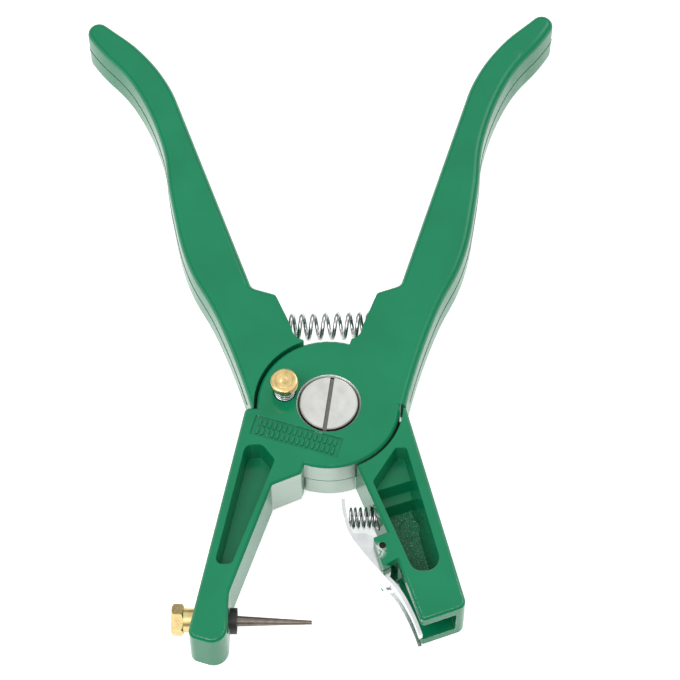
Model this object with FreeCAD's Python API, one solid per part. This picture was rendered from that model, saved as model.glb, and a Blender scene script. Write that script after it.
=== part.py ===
import FreeCAD, Part

import math
import os

from FreeCAD import Vector

# Ear tag applicator, lying on its back with its jaws open.
# Millimetres and degrees.  The pivot axis is the Z axis, the back of the tool is z = 0,
# the handles run towards +Y and the jaws towards -Y.

# ---------------------------------------------------------------- driving sizes

# Castings
BODY_T = 20.5            # thickness of both castings
LAP_GAP = 0.3            # between the two hub halves
HUB_R = 24.0             # hub disc
SHOULDER_GAP = 1.1       # round the other casting's disc
EDGE_C = 0.8             # bevel of the hub and jaw edges
STOP_GAP = 0.3           # between handle toe and jaw shoulder when open

# Handles: the outline of the left one, mirrored for the right one
GRIP_TOE_X = 26.0
GRIP_OUTER = [(-37.2, 33.5), (-48.2, 57.3), (-53.5, 81.6), (-57.0, 105.0), (-66.6, 128.9)]
GRIP_TIP = (-79.7, 152.7)
GRIP_TIP_R = 4.0
GRIP_TIP_FROM = -122.0   # where the tip's rounding meets the outer edge, clockwise from +Y
GRIP_TIP_TO = 41.0       # and the inner edge
GRIP_INNER = [(-64.6, 144.5), (-57.3, 134.8), (-51.6, 123.0)]
GRIP_CROTCH = (-25.5, 46.0)
GRIP_EDGE_R = 2.6
BOSS_ANGLE = 22.4        # inner boss face, from +Y about the pivot
BOSS_TOP_R = 47.0        # distance of the boss corner from the pivot
BOSS_FOOT_R = 31.5
BOSS_FLARE = (-8.2, 24.4)
BOSS_FLARE_BULGE = 1.03
CROTCH_R = 3.0
BURIED = [(-4.0, 12.0), (-15.0, 12.0)]   # ends of the handle inside the hub disc

# Pivot
PIVOT_HEAD_R = 9.8
PIVOT_HEAD_T = 2.8
PIVOT_HEAD_PROUD = 0.3
PIVOT_HEAD_FIT = 0.3
PIVOT_RING = 0.7         # bright chamfer round the counterbore
PIVOT_SLOT_W = 1.4
PIVOT_SLOT_DEPTH = 1.3
PIVOT_SLOT_ANGLE = 9.0
PIVOT_SHANK_R = 5.0
PIVOT_THREAD_R = 4.0
PIVOT_FIT = 0.05         # radial running clearance
PIVOT_NUT_AF = 13.0
PIVOT_NUT_T = 4.6
PIVOT_NUT_ROOM = 0.8     # radial room for the nut's corners
PIVOT_END_PLAY = 0.3

# Handle spring
MAIN_SPRING_Y = 35.2
MAIN_SPRING_R = 4.4      # to the wire's centre
MAIN_SPRING_WIRE = 1.2
MAIN_SPRING_TURNS = 8.0
MAIN_SOCKET_DEPTH = 3.0
MAIN_SOCKET_FIT = 0.6

# Lock button
LOCK_POS = (-14.7, 4.8)
LOCK_HEAD_R = 4.6
LOCK_HEAD_T = 3.0
LOCK_HEAD_RISE = 8.0     # top of the head above the casting
LOCK_PIN_R = 2.0
LOCK_TRAVEL = 3.0
LOCK_FIT = 0.05
LOCK_RING_R = 3.3
LOCK_RING_T = 0.8
LOCK_SPRING_R = 3.25
LOCK_SPRING_WIRE = 0.7
LOCK_SPRING_TURNS = 3.2
LOCK_SEAT_DEPTH = 1.0
LOCK_SEAT_FIT = 0.3
LOCK_HOLE_FIT = 0.3
LOCK_HEAD_CHAMFER = 0.5
LOCK_TENON_R = 1.4
LOCK_TENON_COVER = 1.0
CLOSE_ANGLE = 33.0       # handle travel from open to shut

# Springs
COIL_STEPS = 12          # flats per turn
COIL_SIDES = 6           # flats round the wire
COIL_GROUND = 0.45       # share of the wire ground off each end

# Needle jaw (left)
JAW_SLOPE = 13.3         # outer edges of both jaws, from -Y
NEEDLE_JAW_TOP = (-27.9, -1.0)
NEEDLE_JAW_END = (-47.2, -83.2)
NEEDLE_JAW_TOE = (-34.6, -87.4)
NEEDLE_JAW_BEND = (-33.6, -68.0)
NEEDLE_JAW_STEP = (-19.3, -29.7)
NEEDLE_JAW_HEEL = (-9.7, -25.8)
POCKET_WEB = 3.0
POCKET_DRAFT = 6.0
NEEDLE_POCKET = [(-28.0, -14.9, 3.0), (-22.4, -14.9, 2.5), (-18.2, -20.6, 2.2), (-32.7, -58.2, 2.2),
                 (-38.4, -58.2, 2.2)]
PANEL_CENTRE = (-11.0, -12.1)
PANEL_SIZE = (30.4, 7.2)
PANEL_TURN = -18.2
PANEL_DEPTH = 0.6

# Needle
NEEDLE_AIM = -2.4        # direction of the needle, from +X
NEEDLE_SEAT = (-33.7, -74.0)
NEEDLE_LENGTH = 24.4
NEEDLE_BASE_R = 1.75
NEEDLE_TIP_R = 0.7
NEEDLE_STUD_R = 2.5
NEEDLE_STUD = 6.3        # stud length inside the jaw
NEEDLE_FLANGE_R = 3.0
NEEDLE_FLANGE_T = 0.7
NEEDLE_TAIL_R = 1.5
NEEDLE_TAIL = 5.5
NEEDLE_FIT = 0.05
COLLAR_R = 4.3
COLLAR_T = 2.4
COLLAR_DISH = 1.0
COLLAR_DISH_R = 3.6
NUT_AF = 9.2
NUT_T = 3.9
NUT_NECK_R = 4.0
NUT_NECK = 8.7           # neck length, half of it inside the jaw

# Clip jaw (right)
CLIP_JAW_FACE_ANGLE = 21.0
CLIP_JAW_CORNER = (28.6, -79.7)
CLIP_JAW_END = (43.4, -74.7)
CLIP_JAW_TOP = (25.9, -2.2)
CLIP_JAW_BEND = (21.3, -57.3)
CLIP_JAW_NECK = (18.4, -48.0)
CLIP_POCKET = [(14.0, -29.4, 1.5), (21.9, -17.1, 1.7), (25.5, -16.9, 1.5), (36.2, -62.0, 5.0), (26.4, -62.0, 4.4)]
CLIP_POCKET_FLOOR = 2.6
EAR = [(13.6, -49.9), (16.4, -60.2)]
EAR_T = 3.9
MOUTH_WALL = 3.2         # outer wall of the hollow tip
MOUTH_W = 11.5           # hollow width, front to back
MOUTH_ROOF = [(17.0, -56.4), (22.9, -58.6), (25.2, -62.3)]
MOUTH_DEPTH_Y = -66.4    # where the hollow meets the outer wall
LEDGES = [(32.6, 13.0), (34.0, 8.0), (37.2, 8.0), (38.6, 2.6)]   # distance along the jaw, height
LEDGE_TURN = 17.4
EJECTOR_MARK = (26.4, -38.6)
EJECTOR_MARK_R = 3.6
MARK_DEPTH = 0.3

# Clip
CLIP_SHEET = 1.2
CLIP_W = 12.1
CLIP_LINE = [(3.5, -33.5), (4.1, -39.5), (5.9, -46.0), (10.2, -52.8), (15.9, -60.3), (21.3, -67.4),
             (24.5, -74.0), (27.6, -83.0)]
CLIP_FLANGE = [(0.0, -45.9), (11.5, -46.2, 1.5), (19.5, -50.7, 2.6), (19.4, -57.0, 2.6), (19.0, -61.6, 1.2),
               (14.0, -66.0)]
CLIP_PIN_POS = (16.6, -52.6)
CLIP_PIN_R = 1.1
CLIP_PIN_FIT = 0.05
CLIP_EYE_R = 2.9
CLIP_FORK_START = -65.0
CLIP_FORK_GAP = 6.4
CLIP_SPRING_Y = -38.0
CLIP_SPRING_R = 3.4
CLIP_SPRING_WIRE = 0.8
CLIP_SPRING_TURNS = 5.0
CLIP_SOCKET_DEPTH = 1.8

# ---------------------------------------------------------------- worked out

MID_Z = BODY_T / 2
LAP_TOP = MID_Z + LAP_GAP / 2
LAP_LOW = MID_Z - LAP_GAP / 2
SHOULDER_R = HUB_R + SHOULDER_GAP
BEYOND = 60.0            # how far cutting tools run past the part


def polar(radius, angle_from_y):
    """A point at an angle counted clockwise from +Y."""
    a = math.radians(angle_from_y)
    return (radius * math.sin(a), radius * math.cos(a))


def vec(point, z=0.0):
    return Vector(point[0], point[1], z)


def rounded_wire(corners, z=0.0):
    """Closed wire through (x, y) corners, or (x, y, radius) where the corner is rounded."""
    count = len(corners)
    edges = []
    last = None
    first = None
    for i, corner in enumerate(corners):
        here = vec(corner, z)
        before = vec(corners[i - 1], z)
        after = vec(corners[(i + 1) % count], z)
        radius = corner[2] if len(corner) > 2 else 0.0
        start, end = here, here
        if radius > 0:
            back = (before - here).normalize()
            ahead = (after - here).normalize()
            half = math.acos(max(-1.0, min(1.0, back.dot(ahead)))) / 2
            reach = radius / math.tan(half)
            start = here + back * reach
            end = here + ahead * reach
            inward = (back + ahead).normalize()
            middle = here + inward * (radius / math.sin(half) - radius)
        if last is not None:
            edges.append(Part.makeLine(last, start))
        if radius > 0:
            edges.append(Part.Arc(start, middle, end).toShape())
        if first is None:
            first = start
        last = end
    edges.append(Part.makeLine(last, first))
    return Part.Wire(Part.sortEdges(edges)[0])


def slab(wire, low, high):
    """Extrude a flat wire lying at z = 0 from z = low to z = high."""
    face = Part.Face(wire)
    face.translate(Vector(0, 0, low))
    return face.extrude(Vector(0, 0, high - low))


def drum(radius, low, high, centre=(0, 0)):
    return Part.makeCylinder(radius, high - low, vec(centre, low))


def rod(radius, start, direction, length):
    return Part.makeCylinder(radius, length, start, direction)


def cone(radius_1, radius_2, start, direction, length):
    return Part.makeCone(radius_1, radius_2, length, start, direction)


def hexagon(across_flats, start, direction, length):
    """Hexagonal prism with its corners turned off at both ends."""
    corner_r = across_flats / math.sqrt(3)
    points = [Vector(corner_r * math.cos(k * math.pi / 3), corner_r * math.sin(k * math.pi / 3), 0)
              for k in range(6)]
    prism = Part.Face(Part.makePolygon(points + points[:1])).extrude(Vector(0, 0, length))
    turned = Part.makeCylinder(corner_r, length)
    turned = turned.makeChamfer((corner_r - across_flats / 2) * 0.9, turned.Edges)
    prism = prism.common(turned)
    prism.Placement = FreeCAD.Placement(start, FreeCAD.Rotation(Vector(0, 0, 1), direction))
    return prism


def inset(corners, distance):
    """Move every side of a clockwise or anticlockwise outline inwards."""
    area = sum(a[0] * b[1] - b[0] * a[1] for a, b in zip(corners, corners[1:] + corners[:1]))
    side = 1.0 if area > 0 else -1.0
    lines = []
    for a, b in zip(corners, corners[1:] + corners[:1]):
        along = (vec(b) - vec(a)).normalize()
        inward = Vector(-along.y, along.x, 0) * side
        lines.append((vec(a) + inward * distance, along))
    moved = []
    for i, corner in enumerate(corners):
        p, d = lines[i - 1]
        q, e = lines[i]
        t = ((q.x - p.x) * e.y - (q.y - p.y) * e.x) / (d.x * e.y - d.y * e.x)
        moved.append((p.x + d.x * t, p.y + d.y * t) + tuple(corner[2:]))
    return moved


def drafted_pocket(corners, mouth_z, floor_z):
    """Cutting tool for a cast pocket whose walls lean in towards the floor."""
    lean = abs(mouth_z - floor_z) * math.tan(math.radians(POCKET_DRAFT))
    away = math.copysign(1.0, mouth_z - floor_z)
    wires = [rounded_wire(inset(corners, -lean / 5), mouth_z + away * abs(mouth_z - floor_z) / 5),
             rounded_wire([c[:2] + (max(c[2] - lean, 0.6),) for c in inset(corners, lean)], floor_z)]
    return Part.makeLoft(wires, True, True)


def coil(start, direction, length, radius, wire, turns):
    """Compression spring of flat-sided wire from start along direction, its ends ground flat."""
    rings = []
    steps = round(turns * COIL_STEPS)
    rise = length - wire * (1 - 2 * COIL_GROUND)
    for i in range(steps + 1):
        turn = 2 * math.pi * i / COIL_STEPS
        outward = Vector(math.cos(turn), math.sin(turn), 0)
        height = wire * (0.5 - COIL_GROUND) + rise * i / steps
        ring = []
        for k in range(COIL_SIDES):
            side = 2 * math.pi * k / COIL_SIDES
            ring.append(outward * (radius + wire / 2 * math.cos(side))
                        + Vector(0, 0, height + wire / 2 * math.sin(side)))
        rings.append(ring)
    faces = [flat(rings[0]), flat(rings[-1])]
    for ring, after in zip(rings, rings[1:]):
        for k in range(COIL_SIDES):
            far = (k + 1) % COIL_SIDES
            faces.append(flat([ring[k], ring[far], after[far]]))
            faces.append(flat([ring[k], after[far], after[k]]))
    spring = Part.makeSolid(Part.makeShell(faces))
    if spring.Volume < 0:
        spring.reverse()
    spring = spring.common(Part.makeCylinder(radius + wire, length))
    spring.Placement = FreeCAD.Placement(start, FreeCAD.Rotation(Vector(0, 0, 1), direction))
    return spring


def flat(points):
    return Part.Face(Part.makePolygon(points + points[:1]))


def bow(start, direction, end):
    """Arc from start, leaving along direction, to end."""
    chord = end - start
    sideways = direction - chord * (direction.dot(chord) / chord.dot(chord))
    if sideways.Length < 1e-5:
        return Part.makeLine(start, end)
    turn = direction.getAngle(chord)
    middle = start + chord * 0.5 + sideways.normalize() * (chord.Length / 2 * math.tan(turn / 2))
    return Part.Arc(start, middle, end).toShape()


def fair_curve(points, leave=None, arrive=None):
    """Smooth chain of arcs through flat points, two for each span."""
    points = [vec(p) for p in points]
    ways = []
    for i in range(len(points)):
        a, b, c = [points[k] for k in (range(i - 1, i + 2) if 0 < i < len(points) - 1
                                       else range(3) if i == 0 else range(len(points) - 3, len(points)))]
        circle = Part.Circle(a, b, c)
        spoke = points[i] - circle.Center
        way = Vector(-spoke.y, spoke.x, 0).normalize()
        ways.append(way if way.dot(c - a) > 0 else way * -1)
    ways[0] = leave or ways[0]
    ways[-1] = arrive or ways[-1]
    edges = []
    for start, end, leaving, arriving in zip(points, points[1:], ways, ways[1:]):
        chord = end - start
        both = leaving + arriving
        bend = 2 * (1 - leaving.dot(arriving))
        along = chord.dot(both)
        if bend < 1e-9:
            reach = chord.dot(chord) / (2 * along)
        else:
            reach = (math.sqrt(along * along + bend * chord.dot(chord)) - along) / bend
        join = (start + leaving * reach + end - arriving * reach) * 0.5
        edges.append(bow(start, leaving, join))
        edges.append(bow(join, arriving_back(join, end, arriving), end))
    return edges


def arriving_back(start, end, arrive):
    """Direction in which an arc leaves start so that it reaches end along arrive."""
    chord = (end - start).normalize()
    return chord * (2 * chord.dot(arrive)) - arrive


def mirrored(shape):
    return shape.mirror(Vector(0, 0, 0), Vector(1, 0, 0))


# ---------------------------------------------------------------- handles

def handle_blank():
    """The left handle with its boss, as thick as the casting."""
    tip = vec(GRIP_TIP)
    outer_end, tip_mid, inner_end = [
        tip + vec(polar(GRIP_TIP_R, angle))
        for angle in (GRIP_TIP_FROM, (GRIP_TIP_FROM + GRIP_TIP_TO) / 2, GRIP_TIP_TO)]
    toe = Vector(-GRIP_TOE_X, NEEDLE_JAW_TOP[1] + STOP_GAP, 0)
    crotch = vec(GRIP_CROTCH)
    straight_start = vec(GRIP_INNER[-1])
    outer = fair_curve([toe] + GRIP_OUTER + [outer_end], arrive=vec(polar(1.0, GRIP_TIP_FROM + 90)))
    inner = fair_curve([inner_end] + GRIP_INNER, leave=vec(polar(1.0, GRIP_TIP_TO + 90)),
                       arrive=(crotch - straight_start).normalize())

    boss_corner = polar(BOSS_TOP_R, -BOSS_ANGLE)
    boss_foot = polar(BOSS_FOOT_R, -BOSS_ANGLE)
    up = (straight_start - crotch).normalize()
    to_boss = (vec(boss_corner) - crotch).normalize()
    half = math.acos(up.dot(to_boss)) / 2
    reach = CROTCH_R / math.tan(half)
    bisector = (up + to_boss).normalize()
    crotch_mid = crotch + bisector * (CROTCH_R / math.sin(half) - CROTCH_R)
    foot = vec(boss_foot)
    flare = vec(BOSS_FLARE)
    across = flare - foot
    flare_mid = (foot + flare) * 0.5 + Vector(across.y, -across.x, 0).normalize() * BOSS_FLARE_BULGE
    buried = [vec(p) for p in BURIED] + [Vector(BURIED[-1][0], toe.y, 0)]
    edges = outer + [
        Part.Arc(outer_end, tip_mid, inner_end).toShape(),
    ] + inner + [
        Part.makeLine(straight_start, crotch + up * reach),
        Part.Arc(crotch + up * reach, crotch_mid, crotch + to_boss * reach).toShape(),
        Part.makeLine(crotch + to_boss * reach, vec(boss_corner)),
        Part.makeLine(vec(boss_corner), foot),
        Part.Arc(foot, flare_mid, flare).toShape(),
        Part.makePolygon([flare] + buried + [toe]),
    ]
    blank = slab(Part.Wire(edges), 0, BODY_T)
    return blank.makeFillet(GRIP_EDGE_R, rim_edges(blank))


def rim_edges(shape):
    """Edges between the front or back face and the side walls, outside the hub."""
    rims = []
    for edge in shape.Edges:
        box = edge.BoundBox
        upright = box.ZLength > BODY_T / 4 and box.XLength < 0.01 and box.YLength < 0.01
        near_hub = math.hypot(box.Center.x, box.Center.y) < BOSS_TOP_R and box.Center.x > -GRIP_TOE_X
        if not upright and not near_hub:
            rims.append(edge)
    return rims


def jaw_rims(shape):
    """Front and back outline edges of a jaw, outside the hub."""
    rims = []
    for edge in shape.Edges:
        box = edge.BoundBox
        middle = edge.valueAt((edge.FirstParameter + edge.LastParameter) / 2)
        outside = math.hypot(middle.x, middle.y) > HUB_R - 2
        if box.ZLength < 0.01 and outside:
            rims.append(edge)
    return rims


def needle_jaw_blank():
    toe_z = (NEEDLE_JAW_HEEL[0] * 0.78, NEEDLE_JAW_HEEL[1] * 0.78)
    corners = [(-15.0, NEEDLE_JAW_TOP[1]),
               NEEDLE_JAW_TOP + (1.8,),
               NEEDLE_JAW_END + (3.0,),
               NEEDLE_JAW_TOE + (5.0,),
               NEEDLE_JAW_BEND + (9.0,),
               NEEDLE_JAW_STEP + (1.0,),
               NEEDLE_JAW_HEEL + (0.8,),
               toe_z]
    blank = slab(rounded_wire(corners), 0, BODY_T)
    return blank.makeChamfer(EDGE_C, jaw_rims(blank))


def clip_jaw_blank():
    inside = (CLIP_JAW_NECK[0] * 0.4, CLIP_JAW_NECK[1] * 0.4)
    corners = [inside,
               CLIP_JAW_NECK,
               CLIP_JAW_BEND,
               CLIP_JAW_CORNER + (1.2,),
               CLIP_JAW_END + (3.0,),
               CLIP_JAW_TOP,
               (12.0, CLIP_JAW_TOP[1])]
    blank = slab(rounded_wire(corners), 0, BODY_T)
    return blank.makeChamfer(EDGE_C, jaw_rims(blank))


def hub_disc(low, high, top):
    disc = drum(HUB_R, low, high)
    rim = [e for e in disc.Edges if e.BoundBox.ZLength < 0.01
           and abs(e.BoundBox.ZMin - (high if top else low)) < 0.01]
    return disc.makeChamfer(EDGE_C, rim)


def spring_sockets():
    """Blind sockets for the handle spring in both boss faces."""
    face_x = MAIN_SPRING_Y * math.tan(math.radians(BOSS_ANGLE))
    depth_x = face_x + MAIN_SOCKET_DEPTH
    radius = MAIN_SPRING_R + MAIN_SPRING_WIRE / 2 + MAIN_SOCKET_FIT
    return rod(radius, Vector(-depth_x, MAIN_SPRING_Y, MID_Z), Vector(1, 0, 0), 2 * depth_x)


# ---------------------------------------------------------------- needle lever

def needle_axis():
    a = math.radians(NEEDLE_AIM)
    return Vector(math.cos(a), math.sin(a), 0)


def along_needle(distance):
    return vec(NEEDLE_SEAT, MID_Z) + needle_axis() * distance


def needle_lever():
    body = mirrored(handle_blank()).fuse(needle_jaw_blank())
    body = body.cut(drum(SHOULDER_R, -1, LAP_TOP))
    body = body.fuse(hub_disc(LAP_TOP, BODY_T, True))

    head_seat = BODY_T + PIVOT_HEAD_PROUD - PIVOT_HEAD_T
    head_bore = PIVOT_HEAD_R + PIVOT_HEAD_FIT
    tools = [
        drum(PIVOT_SHANK_R + PIVOT_FIT, 0, BODY_T),
        drum(head_bore, head_seat, BODY_T + 1),
        Part.makeCone(head_bore, head_bore + 2 * PIVOT_RING, 2 * PIVOT_RING, Vector(0, 0, BODY_T - PIVOT_RING)),
        spring_sockets(),
        drum(LOCK_PIN_R + LOCK_FIT, 0, BODY_T + 1, LOCK_POS),
        drum(LOCK_SPRING_R + LOCK_SPRING_WIRE / 2 + LOCK_SEAT_FIT, BODY_T - LOCK_SEAT_DEPTH, BODY_T + 1, LOCK_POS),
        drum(LOCK_RING_R + 0.4, LAP_TOP - 1, lock_ring_top() + 0.1, LOCK_POS),
        drafted_pocket(NEEDLE_POCKET, BODY_T, MID_Z + POCKET_WEB / 2),
        drafted_pocket(NEEDLE_POCKET, 0, MID_Z - POCKET_WEB / 2),
        panel_recess(),
        rod(NEEDLE_STUD_R + NEEDLE_FIT, along_needle(-NEEDLE_STUD - 1), needle_axis(), NEEDLE_STUD + BEYOND),
        rod(NUT_NECK_R + NEEDLE_FIT, along_needle(-BEYOND), needle_axis(), BEYOND - NEEDLE_STUD),
    ]
    for tool in tools:
        body = body.cut(tool)
    return body


def panel_recess():
    long_side, short_side = PANEL_SIZE
    plate = Part.makeBox(long_side, short_side, 2, Vector(-long_side / 2, -short_side / 2, BODY_T - PANEL_DEPTH))
    plate.rotate(Vector(0, 0, 0), Vector(0, 0, 1), PANEL_TURN)
    plate.translate(vec(PANEL_CENTRE))
    return plate


# ---------------------------------------------------------------- clip lever

def mouth_tool():
    """The hollow at the jaw's tip, open to the needle side and to the end."""
    lean = math.tan(math.radians(JAW_SLOPE))
    wall_x = CLIP_JAW_TOP[0] - MOUTH_WALL / math.cos(math.radians(JAW_SLOPE))

    def wall_point(y):
        return (wall_x + (CLIP_JAW_TOP[1] - y) * lean, y)

    corners = MOUTH_ROOF + [wall_point(MOUTH_DEPTH_Y) + (2.0,), wall_point(-BEYOND - 40), (0.0, -BEYOND - 40)]
    return slab(rounded_wire(corners), MID_Z - MOUTH_W / 2, MID_Z + MOUTH_W / 2)


def ledge_steps():
    """Stepped floor of the front pocket, highest beside the hub."""
    profile = [Vector(0, 0, 0), Vector(0, 0, LEDGES[0][1])]
    profile += [Vector(0, -s, z) for s, z in LEDGES]
    profile += [Vector(0, -LEDGES[-1][0], 0)]
    steps = flat(profile).extrude(Vector(BEYOND, 0, 0))
    steps.rotate(Vector(0, 0, 0), Vector(0, 0, 1), LEDGE_TURN)
    return steps


def ears():
    corners = [CLIP_JAW_NECK, EAR[0] + (0.6,), EAR[1] + (0.6,), CLIP_JAW_BEND,
               (CLIP_JAW_BEND[0] + 3, CLIP_JAW_BEND[1]), (CLIP_JAW_NECK[0] + 3, CLIP_JAW_NECK[1])]
    front = slab(rounded_wire(corners), BODY_T - EAR_T, BODY_T)
    back = slab(rounded_wire(corners), 0, EAR_T)
    return front.fuse(back)


def clip_lever():
    body = handle_blank().fuse(clip_jaw_blank())
    body = body.cut(drum(SHOULDER_R, LAP_LOW, BODY_T + 1))
    body = body.fuse(hub_disc(0, LAP_LOW, False)).fuse(ears())

    front_pocket = drafted_pocket(CLIP_POCKET, BODY_T, CLIP_POCKET_FLOOR).cut(ledge_steps())
    nut_room = PIVOT_NUT_AF / math.sqrt(3) + PIVOT_NUT_ROOM
    lock_hole = vec(LOCK_POS)
    lock_hole = FreeCAD.Rotation(Vector(0, 0, 1), CLOSE_ANGLE).multVec(lock_hole)
    socket_r = CLIP_SPRING_R + CLIP_SPRING_WIRE / 2 + 0.4
    tools = [
        drum(PIVOT_SHANK_R + PIVOT_FIT, -1, BODY_T),
        drum(nut_room, -1, PIVOT_NUT_T + PIVOT_END_PLAY),
        spring_sockets(),
        drum(LOCK_PIN_R + LOCK_HOLE_FIT, LAP_LOW - 2 * LOCK_TRAVEL, BODY_T, (lock_hole.x, lock_hole.y)),
        front_pocket,
        drum(EJECTOR_MARK_R, CLIP_POCKET_FLOOR - MARK_DEPTH, BODY_T, EJECTOR_MARK),
        mouth_tool(),
        rod(socket_r, Vector(0, CLIP_SPRING_Y, MID_Z), Vector(1, 0, 0), clip_spring_end()),
        drum(CLIP_PIN_R + CLIP_PIN_FIT, -1, BODY_T + 1, CLIP_PIN_POS),
    ]
    for tool in tools:
        body = body.cut(tool)
    return body


def clip_spring_end():
    return -CLIP_SPRING_Y * math.tan(math.radians(CLIP_JAW_FACE_ANGLE)) + CLIP_SOCKET_DEPTH


# ---------------------------------------------------------------- pivot

def pivot_screw():
    top = BODY_T + PIVOT_HEAD_PROUD
    seat = top - PIVOT_HEAD_T
    head = drum(PIVOT_HEAD_R, seat, top)
    head = head.makeChamfer(0.35, [e for e in head.Edges if abs(e.BoundBox.ZMin - top) < 0.01])
    slot = Part.makeBox(PIVOT_SLOT_W, 3 * PIVOT_HEAD_R, 5,
                        Vector(-PIVOT_SLOT_W / 2, -1.5 * PIVOT_HEAD_R, top - PIVOT_SLOT_DEPTH))
    slot.rotate(Vector(0, 0, 0), Vector(0, 0, 1), -PIVOT_SLOT_ANGLE)
    shank = drum(PIVOT_SHANK_R, PIVOT_NUT_T, seat)
    return head.cut(slot).fuse(shank).fuse(drum(PIVOT_THREAD_R, 0, PIVOT_NUT_T)).removeSplitter()


def pivot_nut():
    nut = hexagon(PIVOT_NUT_AF, Vector(0, 0, 0), Vector(0, 0, 1), PIVOT_NUT_T)
    return nut.cut(drum(PIVOT_THREAD_R, -1, PIVOT_NUT_T + 1))


def handle_spring():
    reach = MAIN_SPRING_Y * math.tan(math.radians(BOSS_ANGLE)) + MAIN_SOCKET_DEPTH
    return coil(Vector(-reach, MAIN_SPRING_Y, MID_Z), Vector(1, 0, 0), 2 * reach,
                MAIN_SPRING_R, MAIN_SPRING_WIRE, MAIN_SPRING_TURNS)


# ---------------------------------------------------------------- lock button

def lock_ring_top():
    return LAP_TOP + 0.2 + LOCK_TRAVEL + LOCK_RING_T


def lock_head_bottom():
    return BODY_T + LOCK_HEAD_RISE - LOCK_HEAD_T


def lock_button():
    top = BODY_T + LOCK_HEAD_RISE
    head = drum(LOCK_HEAD_R, lock_head_bottom(), top, LOCK_POS)
    head = head.makeChamfer(LOCK_HEAD_CHAMFER, [e for e in head.Edges if e.BoundBox.ZLength < 0.01])
    return head.cut(drum(LOCK_TENON_R, lock_head_bottom() - 1, top - LOCK_TENON_COVER, LOCK_POS))


def lock_pin():
    ring_bottom = lock_ring_top() - LOCK_RING_T
    pin = drum(LOCK_PIN_R, ring_bottom, lock_head_bottom(), LOCK_POS)
    tenon = drum(LOCK_TENON_R, lock_head_bottom(), BODY_T + LOCK_HEAD_RISE - LOCK_TENON_COVER, LOCK_POS)
    return pin.fuse(tenon).cut(lock_retaining_ring()).removeSplitter()


def lock_retaining_ring():
    top = lock_ring_top()
    return drum(LOCK_RING_R, top - LOCK_RING_T, top, LOCK_POS).cut(
        drum(LOCK_PIN_R - 0.4, 0, BODY_T, LOCK_POS))


def lock_spring():
    seat = BODY_T - LOCK_SEAT_DEPTH
    return coil(vec(LOCK_POS, seat), Vector(0, 0, 1), lock_head_bottom() - seat,
                LOCK_SPRING_R, LOCK_SPRING_WIRE, LOCK_SPRING_TURNS)


# ---------------------------------------------------------------- needle

def needle():
    axis = needle_axis()
    flange_at = COLLAR_T - COLLAR_DISH
    parts = [
        rod(NEEDLE_TAIL_R, along_needle(-NEEDLE_STUD - NEEDLE_TAIL), axis, NEEDLE_TAIL),
        rod(NEEDLE_STUD_R, along_needle(-NEEDLE_STUD), axis, NEEDLE_STUD + flange_at),
        rod(NEEDLE_FLANGE_R, along_needle(flange_at), axis, NEEDLE_FLANGE_T),
        cone(NEEDLE_BASE_R, NEEDLE_TIP_R, along_needle(flange_at + NEEDLE_FLANGE_T), axis,
             COLLAR_T + NEEDLE_LENGTH - flange_at - NEEDLE_FLANGE_T),
    ]
    shape = parts[0]
    for part in parts[1:]:
        shape = shape.fuse(part)
    return shape.removeSplitter()


def needle_collar():
    axis = needle_axis()
    ring = rod(COLLAR_R, along_needle(0), axis, COLLAR_T)
    ring = ring.cut(rod(NEEDLE_STUD_R + NEEDLE_FIT, along_needle(-1), axis, COLLAR_T + 2))
    floor = COLLAR_T - COLLAR_DISH
    return ring.cut(cone(NEEDLE_FLANGE_R + 0.2, COLLAR_DISH_R, along_needle(floor), axis, COLLAR_DISH))


def needle_nut():
    axis = needle_axis()
    start = -NEEDLE_STUD - NUT_NECK
    shape = rod(NUT_NECK_R, along_needle(start), axis, NUT_NECK)
    shape = shape.fuse(hexagon(NUT_AF, along_needle(start - NUT_T), axis, NUT_T))
    return shape.cut(rod(NEEDLE_TAIL_R + NEEDLE_FIT, along_needle(-NEEDLE_STUD - NEEDLE_TAIL - 0.5), axis,
                         NEEDLE_TAIL + 1))


# ---------------------------------------------------------------- clip

def offset_points(points, distance):
    """Points moved sideways from a path, to the left of its direction."""
    moved = []
    for i, point in enumerate(points):
        before = vec(points[max(i - 1, 0)])
        after = vec(points[min(i + 1, len(points) - 1)])
        along = (after - before).normalize()
        moved.append((point[0] - along.y * distance, point[1] + along.x * distance))
    return moved


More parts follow.
